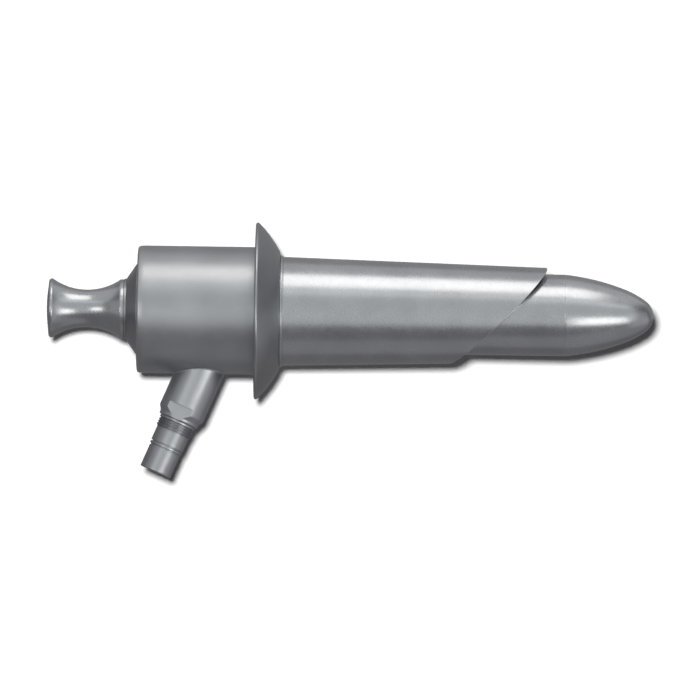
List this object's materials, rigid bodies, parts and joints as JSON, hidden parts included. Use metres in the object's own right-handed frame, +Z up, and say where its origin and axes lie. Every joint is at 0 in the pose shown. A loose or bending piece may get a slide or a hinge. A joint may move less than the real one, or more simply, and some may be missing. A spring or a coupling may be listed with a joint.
{
  "type": "anoscope",
  "caption": "Steel anoscope: tapered tube with a bevelled mouth, conical shield, lit head, angled light post with screw-on adapters, and a removable round-nosed obturator with a spool knob.",
  "frame": {"origin": "middle of the instrument's box, on the table that it lies on", "axes": "+Z up; +X towards the obturator's nose; the light post leaves towards -Y. The instrument lies as it rests on a table, on its shield's rim, its nose and its post's tip."},
  "size_m": [0.1504, 0.0586, 0.0437],
  "materials": {
    "satin_steel": "satin, fine blasted steel with soft highlights",
    "turned_steel": "turned steel with faint rings around its axis",
    "polished_steel": "smoother steel that keeps a crisp highlight",
    "dark_steel": "machined steel, darker in its grooves",
    "fibre_glass": "potted and polished fibre ends",
    "window_glass": "clear polished window",
    "sheath_rubber": "matt black sheath"
  },
  "bodies": {
    "speculum": {"speculum_tube": "polished_steel", "root_collar": "turned_steel", "conical_shield": "turned_steel", "head_shell": "satin_steel", "seat_ring": "turned_steel", "inner_sleeve": "polished_steel", "light_ring": "fibre_glass", "fibre_bundle": "fibre_glass", "bundle_sheath": "sheath_rubber", "light_post": "satin_steel", "post_ferrule": "turned_steel", "light_window": "window_glass"},
    "obturator": {"obturator_nose": "polished_steel", "obturator_barrel": "polished_steel", "barrel_plug": "turned_steel", "obturator_rod": "dark_steel", "stop_cone": "dark_steel"},
    "neck_washer": {"neck_washer": "dark_steel"},
    "knob": {"thumb_knob": "polished_steel"},
    "post_washer": {"post_washer": "polished_steel"},
    "inner_adapter": {"inner_adapter": "dark_steel"},
    "adapter_washer": {"adapter_washer": "polished_steel"},
    "outer_adapter": {"outer_adapter": "satin_steel"}
  },
  "joints": [
    {"name": "obturator_slide", "type": "slide", "parent": "speculum", "child": "obturator", "axis": [-0.9884, 0, 0.1521], "range_m": [0, 0.135]},
    {"name": "knob_travel", "type": "slide", "parent": "obturator", "child": "neck_washer", "axis": [-0.9884, 0, 0.1521], "range_m": [0, 0.008]},
    {"name": "knob_turn", "type": "hinge", "parent": "neck_washer", "child": "knob", "pos_m": [-0.0648, 0.00715, 0.02833], "axis": [-0.9884, 0, 0.1521], "range_deg": [0, 3600]},
    {"name": "inner_adapter_travel", "type": "slide", "parent": "speculum", "child": "post_washer", "axis": [-0.4663, -0.7676, -0.4398], "range_m": [0, 0.00225]},
    {"name": "inner_adapter_turn", "type": "hinge", "parent": "post_washer", "child": "inner_adapter", "pos_m": [-0.04642, -0.01972, 0.0076], "axis": [-0.4663, -0.7676, -0.4398], "range_deg": [0, 1080]},
    {"name": "outer_adapter_travel", "type": "slide", "parent": "inner_adapter", "child": "adapter_washer", "axis": [-0.4663, -0.7676, -0.4398], "range_m": [0, 0.00225]},
    {"name": "outer_adapter_turn", "type": "hinge", "parent": "adapter_washer", "child": "outer_adapter", "pos_m": [-0.04922, -0.02432, 0.00496], "axis": [-0.4663, -0.7676, -0.4398], "range_deg": [0, 1080]}
  ],
  "couplings": [
    {"joint": "knob_turn", "follows": "knob_travel", "rad_per_m": 7854},
    {"joint": "inner_adapter_turn", "follows": "inner_adapter_travel", "rad_per_m": 8377.6},
    {"joint": "outer_adapter_turn", "follows": "outer_adapter_travel", "rad_per_m": 8377.6}
  ]
}
